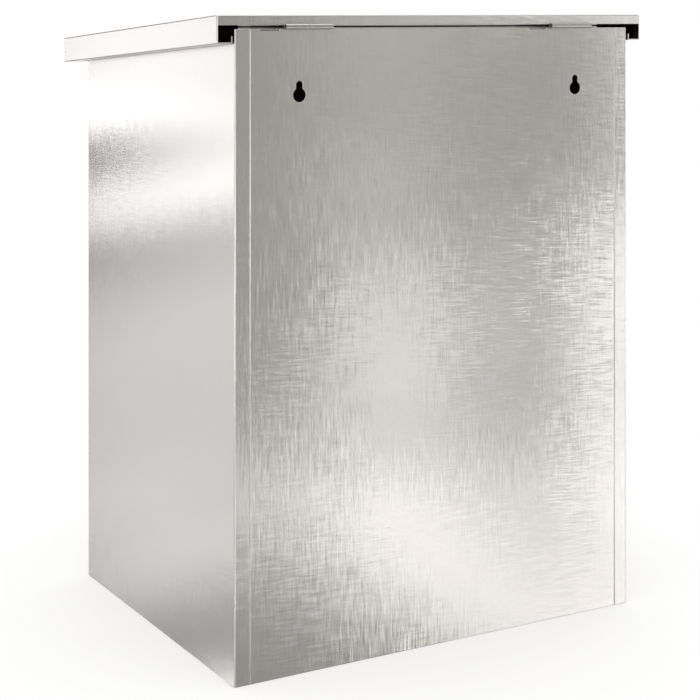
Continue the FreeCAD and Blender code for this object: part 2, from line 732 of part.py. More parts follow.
def door_panel():
    body = new_body("door_panel")
    fold_back = FRONT + size.door_fold
    pad(body, "door_blank", "XZ", [rect(-DOOR_X, DOOR_X, DOOR_LOW, DOOR_TOP)], FRONT, fold_back)
    cut(body, "door_hollow", "XZ",
        [rect(-DOOR_X + GAUGE, DOOR_X - GAUGE, DOOR_LOW + GAUGE, DOOR_TOP - GAUGE)],
        FRONT + GAUGE, fold_back + PAST)
    sides, ends = (DOOR_X, -DOOR_X), (DOOR_LOW, DOOR_TOP)
    picks = [edge_where(y=FRONT, z=z, longer=100) for z in ends]
    picks += [edge_where(x=x, y=FRONT, longer=100) for x in sides]
    picks += [edge_where(x=x, z=z, longer=5) for x in sides for z in ends]
    fillet(body, "door_bends", size.door_bend_rad, *picks)
    cut(body, "door_lock_hole", "XZ", [circle(*LOCK, LOCK_RAD + size.turn_clear)],
        FRONT - PAST, FRONT + 2 * PAST)
    pin_hole = circle(*PIVOT, PIVOT_RAD + size.hole_clear)
    cut(body, "door_pin_hole_top", "XY", [pin_hole], DOOR_TOP - 2 * PAST, DOOR_TOP + PAST)
    cut(body, "door_pin_hole_low", "XY", [pin_hole], DOOR_LOW - PAST, DOOR_LOW + 2 * PAST)


def door_stiffener():
    """Upright hat strip on the inner face of the door sheet."""
    body = new_body("door_stiffener")
    base, half = FRONT + GAUGE + GAP, size.door_hat_half
    crown = base + size.door_hat_depth
    profile = hat(size.door_hat_foot_half, half, base, base + size.strip_gauge, crown)
    pad(body, "door_hat", "XY", [polygon(profile)],
        DOOR_LOW + size.door_hat_inset, DOOR_TOP - size.door_hat_inset)
    fillet(body, "door_hat_bends", size.strip_bend,
           *[edge_where(x=x, y=crown, longer=50) for x in (half, -half)])


def door_pivot_pins():
    """Headed pins pressed in the door's top and bottom folds."""
    pins = []
    for tag, edge, up in (("top", DOOR_TOP, 1), ("low", DOOR_LOW, -1)):
        inside = edge - up * GAUGE
        shank = cylinder("pivot_shank_" + tag, PIVOT_RAD,
                         (inside - up * OVERLAP, edge + up * size.pivot_reach), PIVOT, "Z")
        head = cylinder("pivot_head_" + tag, size.pivot_head_dia / 2,
                        (inside - up * size.pivot_head_depth, inside - up * FACE_GAP),
                        PIVOT, "Z")
        pins.append(fuse("pivot_pin_" + tag, shank, head))
    keep("door_pivot_pins", fuse("pivot_pin_pair", *pins))


def door_pivot_bushes():
    """Flanged bushes in the rails, with their flanges towards the door."""
    bushes = []
    bore_half = 4
    for tag, face, up in (("top", RAIL_LOW, 1), ("low", size.sill_top, -1)):
        tube = cylinder("bush_%s_tube" % tag, BUSH_RAD,
                        (face - up * OVERLAP, face + up * size.bush_reach), PIVOT, "Z")
        flange = cylinder("bush_%s_flange" % tag, size.bush_flange_dia / 2,
                          (face - up * size.bush_flange_depth, face - up * FACE_GAP), PIVOT, "Z")
        blank = fuse("bush_" + tag, tube, flange)
        bore = cylinder("bush_%s_bore" % tag, PIVOT_RAD + size.turn_clear,
                        (face - bore_half, face + bore_half), PIVOT, "Z")
        bushes.append(subtract("bush_%s_bored" % tag, blank, bore))
    keep("door_pivot_bushes", fuse("bush_pair", *bushes))


# -------------------------------------------------------------------- lock

def off_lock_axis(distance):
    """Test for points farther than distance from the lock's axis."""
    x, z = LOCK[0].value, LOCK[1].value
    return lambda p: (p.x - x) ** 2 + (p.z - z) ** 2 > distance ** 2


def lock_square(half_x, half_z):
    """Rectangle centred on the lock's axis."""
    x, z = LOCK
    return rect(x - half_x, x + half_x, z - half_z, z + half_z)


def lock_housing():
    body = new_body("lock_housing")
    back = FRONT + size.lock_reach
    pad(body, "housing_head", "XZ", [circle(*LOCK, size.lock_head_dia / 2)],
        LOCK_FRONT, FRONT - FACE_GAP)
    pad(body, "housing_barrel", "XZ", [circle(*LOCK, LOCK_RAD)], FRONT - OVERLAP, back)
    fillet(body, "housing_edge", size.lock_head_round, edge_where(y=LOCK_FRONT, longer=10))
    cut(body, "housing_bore", "XZ", [circle(*LOCK, size.plug_dia / 2 + size.turn_clear)],
        LOCK_FRONT - PAST, back + PAST)


# corners of a hexagon, x and z, as multiples of half its width across flats
HEXAGON = ((1.1547, 0.0), (0.57735, 1.0), (-0.57735, 1.0),
           (-1.1547, 0.0), (-0.57735, -1.0), (0.57735, -1.0))


def lock_nut():
    body = new_body("lock_nut")
    front = FRONT + GAUGE
    back = front + size.nut_depth
    corners = [(LOCK[0] + size.nut_half_flats * x, LOCK[1] + size.nut_half_flats * z)
               for x, z in HEXAGON]
    pad(body, "nut_hexagon", "XZ", [polygon(corners)], front + FACE_GAP, back)
    cut(body, "nut_bore", "XZ", [circle(*LOCK, LOCK_RAD + size.hole_clear)], FRONT, back + PAST)
    chamfer(body, "nut_chamfer", size.nut_chamfer,
            edge_where(y=back, longer=10, test=off_lock_axis(10)))


def lock_cylinder():
    body = new_body("lock_cylinder")
    front = LOCK_FRONT + size.plug_recess
    half = size.plug_square / 2
    pad(body, "plug_round", "XZ", [circle(*LOCK, size.plug_dia / 2)],
        front, CAM_FRONT - FACE_GAP)
    pad(body, "plug_square", "XZ", [lock_square(half, half)],
        CAM_FRONT - OVERLAP, CAM_BACK - size.plug_end_inset)
    cut(body, "plug_key_slot", "XZ", [lock_square(size.key_width / 2, size.key_length / 2)],
        LOCK_FRONT - PAST, LOCK_FRONT + size.key_depth)
    cut(body, "plug_screw_hole", "XZ", [circle(*LOCK, size.screw_hole_dia / 2)],
        CAM_FRONT - 5 * PAST, CAM_BACK + PAST)
    chamfer(body, "plug_front_edge", size.plug_chamfer,
            edge_where(y=front, longer=8, test=off_lock_axis(5)))


def lock_cam():
    body = new_body("lock_cam")
    x, z = LOCK
    half, tip = size.cam_width / 2, z + size.cam_reach
    pad(body, "cam_root", "XZ", [circle(x, z, half + size.cam_root_extra)], CAM_FRONT, CAM_BACK)
    pad(body, "cam_arm", "XZ", [rect(x - half, x + half, z, tip)], CAM_FRONT, CAM_BACK)
    fillet(body, "cam_tip", size.cam_tip_rad,
           edge_where(x=x - half, z=tip), edge_where(x=x + half, z=tip))
    hole = size.plug_square / 2 + size.square_clear
    cut(body, "cam_square_hole", "XZ", [lock_square(hole, hole)],
        CAM_FRONT - PAST, CAM_BACK + PAST)


def cam_screw():
    head_back = CAM_BACK + size.screw_head_depth
    shank = cylinder("cam_screw_shank", size.screw_dia / 2,
                     (CAM_FRONT - size.screw_length, CAM_BACK + OVERLAP), LOCK, "Y")
    head = cylinder("cam_screw_head", size.screw_head_dia / 2,
                    (CAM_BACK + FACE_GAP, head_back), LOCK, "Y")
    screw = part_fillet("cam_screw_round", fuse("cam_screw_blank", shank, head),
                        size.screw_round, edge_where(y=head_back, longer=10))
    width, length = size.screw_slot_width, size.screw_slot_length
    corner = (LOCK[0] - width / 2, CAM_BACK + size.screw_slot_from, LOCK[1] - length / 2)
    cutter_depth = dim(2)
    slot = doc.addObject("Part::Box", "cam_screw_slot")
    for prop, amount in (("Length", width), ("Width", cutter_depth), ("Height", length)):
        setattr(slot, prop, amount.value)
        bind(slot, prop, amount)
    slot.Placement = Placement(Vector(*[c.value for c in corner]), Rotation())
    for key, c in zip("xyz", corner):
        bind(slot, "Placement.Base." + key, c)
    keep("cam_screw", subtract("cam_screw_slotted", screw, slot))


# ------------------------------------------------- inner bins, bails, grips

def on_bin_rim(mid_x):
    """Test for points on the outer outline of a bin's rim."""
    half_x, half_y = size.bin_rim_x.value / 2, size.bin_rim_y.value / 2
    corner = size.bin_rim_corner.value

    def test(p):
        across, along = abs(p.x - mid_x.value), abs(p.y - BIN_Y.value)
        corner_x, corner_y = across - (half_x - corner), along - (half_y - corner)
        in_corner = (corner_x > -1 and corner_y > -1
                     and corner_x ** 2 + corner_y ** 2 > (corner - 0.5) ** 2)
        return across > half_x - 0.1 or along > half_y - 0.1 or in_corner
    return test


def bin_ears(body, label, mid_x):
    """Upright ears that carry the bail, one at each end of the rim."""
    half = size.ear_width / 2
    foot_half, neck = half + size.ear_flare, RIM + size.ear_neck
    slant = half * COS_45
    hole_from, hole_to = 120, 143   # cutter ends, from the bin's middle
    for tag, end in (("front", -1), ("rear", 1)):
        inner = BIN_Y + end * EAR_INSIDE
        pad(body, "%s_ear_%s" % (label, tag), "XZ", [polygon([
            (mid_x - foot_half, RIM - size.ear_root), (mid_x + foot_half, RIM - size.ear_root),
            (mid_x + half, neck), (mid_x + half, BAIL_Z), (mid_x + slant, BAIL_Z + slant),
            (mid_x, BAIL_Z + half), (mid_x - slant, BAIL_Z + slant),
            (mid_x - half, BAIL_Z), (mid_x - half, neck)])],
            inner, inner + end * size.ear_gauge)
        cut(body, "%s_ear_hole_%s" % (label, tag), "XZ",
            [circle(mid_x, BAIL_Z, WIRE_RAD + size.ear_clear)],
            BIN_Y + end * hole_from, BIN_Y + end * hole_to)


def inner_bin(label, side):
    body = new_body(label)
    mid_x = side * size.bin_mid_x
    wall, foot = size.bin_wall, size.bin_foot
    top_x, top_y = size.bin_top_x, size.bin_top_y
    low_x, low_y = size.bin_low_x, size.bin_low_y
    low_corner, top_corner = size.bin_low_corner, size.bin_top_corner

    def outline(width, depth, corner):
        return rounded_rect(mid_x, BIN_Y, width, depth, corner)

    loft(body, "AdditiveLoft", label + "_shell", outline(low_x, low_y, low_corner), foot,
         outline(top_x, top_y, top_corner), RIM)
    rim = outline(size.bin_rim_x, size.bin_rim_y, size.bin_rim_corner)
    pad(body, label + "_rim", "XY", [rim], RIM - size.rim_gauge, RIM)
    skirt_wall = size.rim_skirt_wall
    skirt_inside = outline(size.bin_rim_x - 2 * skirt_wall, size.bin_rim_y - 2 * skirt_wall,
                           size.bin_rim_corner - skirt_wall)
    pad(body, label + "_rim_skirt", "XY", [rim, skirt_inside],
        RIM - size.rim_skirt, RIM - size.rim_gauge / 2)
    fillet(body, label + "_rim_round", size.rim_round, edge_where(z=RIM, test=on_bin_rim(mid_x)))
    # The hollow follows the taper of the outside from its own floor upwards.
    floor = foot + wall + size.bin_floor_extra
    share = (floor - foot) / (RIM - foot)
    loft(body, "SubtractiveLoft", label + "_hollow",
         outline(low_x + (top_x - low_x) * share - 2 * wall,
                 low_y + (top_y - low_y) * share - 2 * wall, low_corner - wall), floor,
         outline(top_x - 2 * wall, top_y - 2 * wall, top_corner - wall), RIM)
    bin_ears(body, label, mid_x)


def bail(label, side):
    """Wire laid flat to the outer side, its ends hooked inwards through the ears."""
    body = new_body(label)
    hinge_x = side * size.bin_mid_x
    far_x = hinge_x + side * size.bail_arm
    arm = EAR_INSIDE + size.ear_gauge + size.bail_gap
    end = EAR_INSIDE - size.bail_end
    y0, y1 = BIN_Y - arm, BIN_Y + arm
    hook, corner = size.bail_hook_rad, size.bail_corner_rad
    hook_x, corner_x = hinge_x + side * hook, far_x - side * corner
    legs = [((hinge_x, BIN_Y - end), (hinge_x, y0 + hook)),
            ((hook_x, y0), (corner_x, y0)),
            ((far_x, y0 + corner), (far_x, y1 - corner)),
            ((corner_x, y1), (hook_x, y1)),
            ((hinge_x, y1 - hook), (hinge_x, BIN_Y + end))]
    bends = [((hook_x, y0 + hook), hook), ((corner_x, y0 + corner), corner),
             ((corner_x, y1 - corner), corner), ((hook_x, y1 - hook), hook)]
    spine = add_sketch(body, label + "_spine", "XY", [bent_line(legs, bends)], BAIL_Z)
    section = add_sketch(body, label + "_section", "XZ", [circle(hinge_x, BAIL_Z, WIRE_RAD)],
                         -(BIN_Y - end))
    pipe = body.newObject("PartDesign::AdditivePipe", label + "_wire")
    pipe.Profile = section
    pipe.Spine = spine
    section.Visibility = spine.Visibility = False
    doc.recompute()


def grip(label, side):
    """Sleeve on the outer straight of a bail."""
    body = new_body(label)
    x = side * size.bin_mid_x + side * size.bail_arm
    y0, y1 = BIN_Y - size.grip_length / 2, BIN_Y + size.grip_length / 2
    pad(body, label + "_sleeve", "XZ", [circle(x, BAIL_Z, size.grip_dia / 2)], y0, y1)
    fillet(body, label + "_ends", size.grip_round, edge_where(y=y0), edge_where(y=y1))
    cut(body, label + "_bore", "XZ", [circle(x, BAIL_Z, WIRE_RAD + size.grip_clear)],
        y0 - PAST, y1 + PAST)


# ----------------------------------------------------------- rubber buffers

def lid_buffers():
    buffers = []
    under, top = FRONT_TOP - GAUGE, FRONT_TOP + size.rubber_rise
    for tag, side in reversed(SIDES):
        centre = (side * size.rubber_x, FRONT + size.rubber_y)
        head = cylinder("lid_buffer_head_" + tag, size.rubber_dia / 2,
                        (FRONT_TOP + FACE_GAP, top), centre, "Z")
        stem = cylinder("lid_buffer_stem_" + tag, size.rubber_stem_dia / 2,
                        (under - OVERLAP, FRONT_TOP + OVERLAP), centre, "Z")
        bulb = cylinder("lid_buffer_bulb_" + tag, size.rubber_bulb_dia / 2,
                        (under - size.rubber_bulb_depth, under - FACE_GAP), centre, "Z")
        blank = fuse("lid_buffer_a_" + tag, fuse("lid_buffer_b_" + tag, head, stem), bulb)
        buffers.append(part_fillet("lid_buffer_" + tag, blank, size.rubber_round,
                                   edge_where(z=top, longer=10)))
    keep("lid_buffers", fuse("lid_buffer_pair", *buffers))


def door_buffers():
    """Short rubbers between the door's top fold and the rail's door stop."""
    ends = (FRONT + size.door_fold + size.door_rubber_gap, STOP_FRONT - FACE_GAP)
    stops = [cylinder("door_buffer_" + tag, size.door_rubber_dia / 2, ends,
                      (side * size.door_rubber_x, DOOR_TOP - size.door_rubber_drop), "Y")
             for tag, side in reversed(SIDES)]
    keep("door_buffers", fuse("door_buffer_pair", *stops))


# -------------------------------------------------------------------- build

for name, side in SIDES:
    side_panel(name + "_side_panel", side)
back_panel()
floor_pan()
front_top_rail()
front_bottom_rail()
bin_divider()
hinge_leaf("lower_hinge_leaf", TOP + GAP / 2, TOP + size.leaf_low_gauge,
           lower=True, bore=PIN_RAD + size.pin_seat)
hinge_leaf("upper_hinge_leaf", REAR_BOTTOM - size.leaf_up_gauge, REAR_BOTTOM - GAP / 2,
           lower=False, bore=PIN_RAD + size.pin_clear)
lid_hinge_pins()
lid_tray()
lid_stiffener()
door_panel()
door_stiffener()
door_pivot_pins()
door_pivot_bushes()
lock_housing()
lock_nut()
lock_cylinder()
lock_cam()
cam_screw()
for name, side in SIDES:
    inner_bin(name + "_bin", side)
for name, side in SIDES:
    bail(name + "_bail", side)
    grip(name + "_grip", side)
lid_buffers()
door_buffers()

# ------------------------------------------------------------ check, export

doc.recompute()
problems = []
for obj in doc.Objects:
    state = set(obj.State)
    if "Invalid" in state or "Error" in state:
        problems.append("%s: %s" % (obj.Name, sorted(state)))
for label, obj in PARTS.items():
    shape = obj.Shape
    if shape.isNull() or not shape.isValid() or not shape.Solids or shape.Volume <= 0:
        problems.append("%s has no valid solid" % label)
if problems:
    raise RuntimeError("; ".join(problems))

os.makedirs("parts", exist_ok=True)
for label, obj in PARTS.items():
    obj.Shape.exportStep("parts/%s.step" % label)
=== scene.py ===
import json
import math

import bmesh
import bpy
from mathutils import Matrix, Vector

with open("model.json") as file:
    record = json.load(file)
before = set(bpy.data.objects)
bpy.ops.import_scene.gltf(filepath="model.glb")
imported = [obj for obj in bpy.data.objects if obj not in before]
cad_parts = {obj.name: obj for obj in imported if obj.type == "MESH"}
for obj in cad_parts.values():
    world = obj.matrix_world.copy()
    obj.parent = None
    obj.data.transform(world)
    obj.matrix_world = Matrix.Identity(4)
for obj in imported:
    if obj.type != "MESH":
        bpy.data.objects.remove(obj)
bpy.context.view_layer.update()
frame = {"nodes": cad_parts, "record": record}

NODES = frame["nodes"]
scene = bpy.context.scene


# ------------------------------------------------------------------ node graphs

class Graph:
    """Short-hand for building a shader node tree."""

    def __init__(self, tree):
        self.tree = tree
        self.nodes = tree.nodes
        self.links = tree.links

    def add(self, kind, **props):
        n = self.nodes.new(kind)
        for k, v in props.items():
            setattr(n, k, v)
        return n

    def put(self, socket, value):
        if isinstance(value, bpy.types.NodeSocket):
            self.links.new(value, socket)
        elif value is not None:
            socket.default_value = value

    def math(self, op, a, b=None, c=None, clamp=False):
        n = self.add("ShaderNodeMath", operation=op, use_clamp=clamp)
        for i, v in enumerate((a, b, c)):
            if v is not None:
                self.put(n.inputs[i], v)
        return n.outputs[0]

    def vmath(self, op, a, b=None, scale=None):
        n = self.add("ShaderNodeVectorMath", operation=op)
        self.put(n.inputs[0], a)
        if b is not None:
            self.put(n.inputs[1], b)
        if scale is not None:
            self.put(n.inputs[3], scale)
        return n.outputs["Value"] if op in ("DOT_PRODUCT", "LENGTH", "DISTANCE") else n.outputs["Vector"]

    def noise(self, vector, scale=1.0, detail=2.0, rough=0.5, dist=0.0, out="Fac"):
        n = self.add("ShaderNodeTexNoise")
        self.put(n.inputs["Vector"], vector)
        n.inputs["Scale"].default_value = scale
        n.inputs["Detail"].default_value = detail
        n.inputs["Roughness"].default_value = rough
        n.inputs["Distortion"].default_value = dist
        return n.outputs[out]

    def mapping(self, vector, scale, loc=(0, 0, 0), rot=(0, 0, 0)):
        n = self.add("ShaderNodeMapping")
        self.put(n.inputs["Vector"], vector)
        n.inputs["Scale"].default_value = scale
        n.inputs["Location"].default_value = loc
        n.inputs["Rotation"].default_value = rot
        return n.outputs[0]

    def mix(self, fac, a, b, blend="MIX"):
        n = self.add("ShaderNodeMix", data_type="RGBA", blend_type=blend)
        self.put(n.inputs[0], fac)
        for s, v in ((n.inputs[6], a), (n.inputs[7], b)):
            if isinstance(v, (tuple, list)):
                v = tuple(v) + ((1.0,) if len(v) == 3 else ())
            self.put(s, v)
        return n.outputs[2]

    def lerp(self, fac, a, b):
        n = self.add("ShaderNodeMix", data_type="FLOAT")
        self.put(n.inputs[0], fac)
        self.put(n.inputs[2], a)
        self.put(n.inputs[3], b)
        return n.outputs[0]

    def remap(self, value, a, b, c, d, smooth=False):
        n = self.add("ShaderNodeMapRange")
        if smooth:
            n.interpolation_type = "SMOOTHSTEP"
        self.put(n.inputs["Value"], value)
        for k, v in zip(("From Min", "From Max", "To Min", "To Max"), (a, b, c, d)):
            self.put(n.inputs[k], v)
        return n.outputs[0]

    def curve(self, value, points):
        n = self.add("ShaderNodeFloatCurve")
        self.put(n.inputs["Value"], value)
        c = n.mapping.curves[0]
        pts = sorted(points)
        while len(c.points) < len(pts):
            c.points.new(0.5, 0.5)
        for p, (x, y) in zip(c.points, pts):
            p.location = (x, y)
            p.handle_type = "AUTO_CLAMPED"
        n.mapping.use_clip = False
        n.mapping.update()
        return n.outputs[0]

    def combine(self, x, y, z):
        n = self.add("ShaderNodeCombineXYZ")
        for i, v in enumerate((x, y, z)):
            self.put(n.inputs[i], v)
        return n.outputs[0]

    def separate(self, v):
        n = self.add("ShaderNodeSeparateXYZ")
        self.put(n.inputs[0], v)
        return n.outputs[0], n.outputs[1], n.outputs[2]


def new_material(name):
    m = bpy.data.materials.new(name)
    m.use_nodes = True
    m.node_tree.nodes.clear()
    g = Graph(m.node_tree)
    out = g.add("ShaderNodeOutputMaterial")
    bsdf = g.add("ShaderNodeBsdfPrincipled")
    g.links.new(bsdf.outputs[0], out.inputs["Surface"])
    return m, g, bsdf


def object_frame(g):
    """Piece coordinates, and the share of the surface that faces each row axis (of the piece at rest)."""
    tc = g.add("ShaderNodeTexCoord")
    co = tc.outputs["Object"]
    nx, ny, nz = g.separate(tc.outputs["Normal"])
    ax, ay, az = (g.math("ABSOLUTE", v) for v in (nx, ny, nz))
    return co, ax, ay, az


def sheet_axes(g):
    """Coordinates along (u) and up (v) whichever face of a folded sheet is being shaded, in metres, shifted a
    different way on each piece, and the two directions they run in (piece space)."""
    tc = g.add("ShaderNodeTexCoord")
    x, y, z = g.separate(tc.outputs["Object"])
    nx, ny, nz = g.separate(tc.outputs["Normal"])
    flat = g.math("GREATER_THAN", g.math("ABSOLUTE", nz), 0.72)
    side = g.math("GREATER_THAN", g.math("ABSOLUTE", nx), 0.72)
    shift = g.math("MULTIPLY", g.add("ShaderNodeObjectInfo").outputs["Random"], 37.0)
    u = g.math("ADD", g.lerp(side, x, y), shift)
    v = g.math("ADD", g.lerp(flat, z, y), g.math("MULTIPLY", shift, 1.7))
    along = g.combine(g.math("SUBTRACT", 1.0, side), side, 0.0)
    up = g.combine(0.0, flat, g.math("SUBTRACT", 1.0, flat))
    return tc.outputs["Object"], u, v, along, up


def scratches(g, u, v, per_m_u, per_m_v, turn=0.0, detail=2.0, rough=0.6, shift=0.0):
    """Noise stretched into scratches; three independent channels, each about -0.5 to 0.5."""
    vec = g.combine(g.math("ADD", u, shift), v, 0.0)
    if turn:
        vec = g.mapping(vec, (1, 1, 1), rot=(0, 0, math.radians(turn)))
    n = g.add("ShaderNodeTexNoise", noise_dimensions="2D")
    g.put(n.inputs["Vector"], g.mapping(vec, (per_m_u, per_m_v, 1.0)))
    n.inputs["Scale"].default_value = 1.0
    n.inputs["Detail"].default_value = detail
    n.inputs["Roughness"].default_value = rough
    return g.vmath("SUBTRACT", n.outputs["Color"], (0.5, 0.5, 0.5))


def brushed(name, base, rough, grain=1.0, tilt=1.0, aniso=0.2, shade=1.0, edge=0.14, bevel=0.0005, lean=0.0):
    """Stainless sheet, brushed up and down and then lightly across: each scratch leans its own way, so it shifts
    what the sheet mirrors, shows most where a reflection changes tone, and fades where it doesn't."""
    m, g, b = new_material(name)
    co, u, v, along, up = sheet_axes(g)
    # where one direction of brushing won over the other
    patch = g.add("ShaderNodeTexNoise", noise_dimensions="2D")
    g.put(patch.inputs["Vector"], g.combine(g.math("MULTIPLY", u, 7.0), g.math("MULTIPLY", v, 6.0), 0.0))
    patch.inputs["Scale"].default_value = 1.0
    patch.inputs["Detail"].default_value = 2.0
    pr, pg, pb = g.separate(patch.outputs["Color"])
    m_up = g.remap(pr, 0.36, 0.62, 0.55, 1.1)
    m_across = g.remap(pg, 0.40, 0.62, 0.35, 1.1)
    # the belt ran square towards one edge of the sheet, and straight up the middle of it
    ox = g.separate(co)[0]
    m_across = g.math("MULTIPLY", m_across, g.remap(ox, 0.06, -0.12, 0.75, 1.35, smooth=True))
    m_across = g.math("MULTIPLY", m_across, g.remap(ox, -0.185, -0.191, 1.0, 0.45))
    m_up = g.math("MULTIPLY", m_up, g.remap(ox, 0.02, -0.12, 1.1, 0.7, smooth=True))
    # the outer face of the side panel is brushed more finely
    side = g.remap(ox, 0.2030, 0.2039, 1.0, 0.5)
    m_across = g.math("MULTIPLY", m_across, side)
    m_up = g.math("MULTIPLY", m_up, side)
    up_wide = scratches(g, u, v, 780.0 * grain, 30.0, detail=1.5)
    up_fine = scratches(g, u, v, 1150.0 * grain, 50.0, turn=1.0, detail=1.0, shift=3.3)
    ac_wide = scratches(g, u, v, 22.0, 780.0 * grain, turn=-4.5, detail=1.5, shift=7.1)
    ac_mid = scratches(g, u, v, 14.0, 460.0 * grain, turn=2.0, detail=1.0, shift=5.9)
    ac_fine = scratches(g, u, v, 45.0, 1050.0 * grain, turn=-2.5, detail=1.0, shift=11.7)
    up_band = scratches(g, u, v, 210.0 * grain, 8.0, detail=1.0, shift=1.9)
    upr = g.vmath("ADD", g.vmath("SCALE", up_wide, scale=0.105 * tilt), g.vmath("SCALE", up_fine, scale=0.110 * tilt))
    upr = g.vmath("ADD", upr, g.vmath("SCALE", up_band, scale=0.016 * tilt))
    acr = g.vmath("ADD", g.vmath("SCALE", ac_wide, scale=0.085 * tilt), g.vmath("SCALE", ac_fine, scale=0.115 * tilt))
    acr = g.vmath("ADD", acr, g.vmath("SCALE", ac_mid, scale=0.012 * tilt))
    upr = g.vmath("SCALE", upr, scale=m_up)
    acr = g.vmath("SCALE", acr, scale=m_across)
    lr, lg, lb = g.separate(g.vmath("ADD", upr, acr))
    # slow unevenness of the rolled sheet
    wave = g.vmath("SUBTRACT", g.noise(g.combine(g.math("MULTIPLY", u, 5.0), g.math("MULTIPLY", v, 4.0), 0.0),
                                       1.0, 1.0, 0.4, out="Color"), (0.5, 0.5, 0.5))
    wr, wg, wb = g.separate(wave)
    lean_u = g.math("ADD", lr, g.math("MULTIPLY", wr, 0.005 * tilt))
    lean_v = g.math("ADD", lg, g.math("MULTIPLY", wg, 0.005 * tilt))
    if lean:
        # folded square to a sloping sheet, so it leans back a little
        rear = g.math("GREATER_THAN", g.separate(g.add("ShaderNodeTexCoord").outputs["Normal"])[1], 0.9)
        lean_v = g.math("ADD", lean_v, g.math("MULTIPLY", rear, lean))
    push = g.vmath("ADD", g.vmath("SCALE", along, scale=lean_u), g.vmath("SCALE", up, scale=lean_v))
    to_world = g.add("ShaderNodeVectorTransform", vector_type="VECTOR", convert_from="OBJECT", convert_to="WORLD")
    g.put(to_world.inputs[0], push)
    geo = g.add("ShaderNodeNewGeometry")
    bev = g.add("ShaderNodeBevel", samples=4)
    bev.inputs["Radius"].default_value = bevel
    normal = g.vmath("NORMALIZE", g.vmath("ADD", bev.outputs[0], to_world.outputs[0]))
    g.put(b.inputs["Normal"], normal)
    # cut edges made lighter in the base colour, partly edge wear and partly a painted highlight; slow smudges; and the
    # scratches' own shade
    edge_wear_and_sheen = g.remap(g.vmath("DOT_PRODUCT", bev.outputs[0], geo.outputs["Normal"]), 0.999, 0.93, 0.0, 1.0)
    cloud = g.math("SUBTRACT", g.noise(co, 6.0, 3.0, 0.55), 0.5)
    tone = g.math("ADD", 1.0, g.math("MULTIPLY", lb, 0.60 * shade))
    tone = g.math("ADD", tone, g.math("MULTIPLY", cloud, 0.05))
    # painted highlight: the outside of a bend is made lighter in the base colour, standing in for the bright line its
    # curve mirrors
    nt = g.add("ShaderNodeTexCoord").outputs["Normal"]
    bx, by, bz = g.separate(g.vmath("ABSOLUTE", nt))
    bend = g.remap(g.math("MAXIMUM", bx, g.math("MAXIMUM", by, bz)), 0.985, 0.90, 0.0, 1.0)
    edge_wear_and_sheen = g.math("MAXIMUM", edge_wear_and_sheen, bend)
    # painted highlight on bends and cut edges, with some edge wear, added to the base colour's tone
    tone = g.math("ADD", tone, g.math("MULTIPLY", edge_wear_and_sheen, edge))
    colour = g.mix(1.0, base, g.combine(tone, tone, tone), "MULTIPLY")
    warm = g.mix(g.math("ADD", 0.5, cloud, clamp=True), (0.992, 1.0, 1.010), (1.008, 1.0, 0.990))
    g.put(b.inputs["Base Color"], g.mix(1.0, colour, warm, "MULTIPLY"))
    b.inputs["Metallic"].default_value = 1.0
    r = g.math("ADD", rough, g.math("ADD", g.math("MULTIPLY", lb, 0.45), g.math("MULTIPLY", cloud, 0.05)))
    r = g.math("SUBTRACT", r, g.math("MULTIPLY", edge_wear_and_sheen, 0.06))
    g.put(b.inputs["Roughness"], g.math("MAXIMUM", r, 0.10))
    b.inputs["Anisotropic"].default_value = aniso
    tw = g.add("ShaderNodeVectorTransform", vector_type="VECTOR", convert_from="OBJECT", convert_to="WORLD")
    g.put(tw.inputs[0], up)
    g.put(b.inputs["Tangent"], tw.outputs[0])
    if rough < 0.28:
        # a brushed sheet mirrors with a narrow core and a wider skirt round it
        wide = g.add("ShaderNodeBsdfPrincipled")
        for key in ("Base Color", "Normal", "Tangent"):
            g.links.new(b.inputs[key].links[0].from_socket, wide.inputs[key])
        wide.inputs["Metallic"].default_value = 1.0
        wide.inputs["Anisotropic"].default_value = aniso
        g.put(wide.inputs["Roughness"], g.math("MAXIMUM", g.math("ADD", r, 0.085), 0.285))
        both = g.add("ShaderNodeMixShader")
        both.inputs[0].default_value = 0.32
        out = next(n for n in g.nodes if n.type == "OUTPUT_MATERIAL")
        g.links.new(b.outputs[0], both.inputs[1])
        g.links.new(wide.outputs[0], both.inputs[2])
        g.links.new(both.outputs[0], out.inputs["Surface"])
    return m


def plain_metal(name, base, rough, scale=900.0, bump=0.05, bevel=0.0003, dull=0.1):
    m, g, b = new_material(name)
    co, ax, ay, az = object_frame(g)
    n1 = g.noise(co, scale, 3.0, 0.6)
    n2 = g.noise(co, 60.0, 3.0, 0.6)
    geo = g.add("ShaderNodeNewGeometry")
    bev = g.add("ShaderNodeBevel", samples=4)
    bev.inputs["Radius"].default_value = bevel
    edge_wear_and_sheen = g.remap(g.vmath("DOT_PRODUCT", bev.outputs[0], geo.outputs["Normal"]), 0.999, 0.93, 0.0, 1.0)
    # edges made lighter in the base colour: partly edge wear, partly a painted highlight
    s = g.math("ADD", 1.0 - dull / 2, g.math("ADD", g.math("MULTIPLY", n2, dull), g.math("MULTIPLY", edge_wear_and_sheen, 0.12)))
    g.put(b.inputs["Base Color"], g.mix(1.0, base, g.combine(s, s, s), "MULTIPLY"))
    b.inputs["Metallic"].default_value = 1.0
    g.put(b.inputs["Roughness"], g.math("ADD", rough - 0.06, g.math("MULTIPLY", g.math("ADD", n1, n2), 0.06)))
    bm = g.add("ShaderNodeBump")
    bm.inputs["Strength"].default_value = bump
    bm.inputs["Distance"].default_value = 0.0001
    g.put(bm.inputs["Height"], n1)
    g.put(bm.inputs["Normal"], bev.outputs[0])
    g.put(b.inputs["Normal"], bm.outputs[0])
    return m


